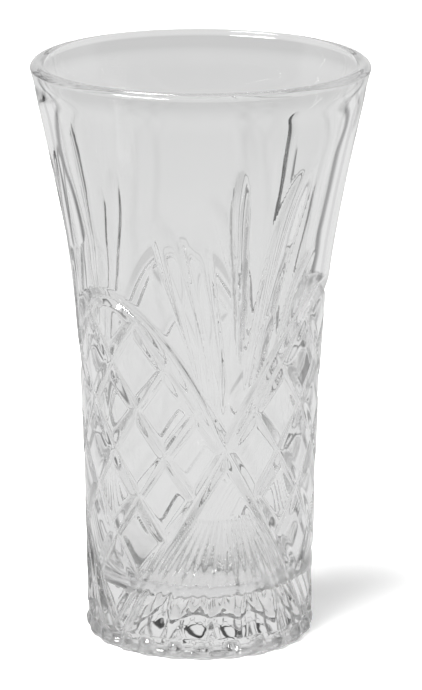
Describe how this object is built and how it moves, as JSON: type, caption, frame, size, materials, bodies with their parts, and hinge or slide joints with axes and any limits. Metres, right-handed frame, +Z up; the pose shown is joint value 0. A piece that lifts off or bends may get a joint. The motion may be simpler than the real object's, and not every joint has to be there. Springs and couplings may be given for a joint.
{
  "type": "shot glass",
  "caption": "Tall flared shot glass in clear pressed glass, with a thick foot, a rounded lip and a moulded pattern of fans, arches and diamonds.",
  "frame": {"origin": "centre of the foot's underside, on the surface that the glass stands on", "axes": "+Z up the glass's axis to the mouth; -Y towards the viewer, with one crossing of the pattern 12.8 degrees round from it towards +X"},
  "size_m": [0.0438, 0.0438, 0.076],
  "materials": {
    "clear_glass": "fire-polished, colourless, glossy"
  },
  "bodies": {
    "root": {"glass_body": "clear_glass"}
  },
  "joints": []
}
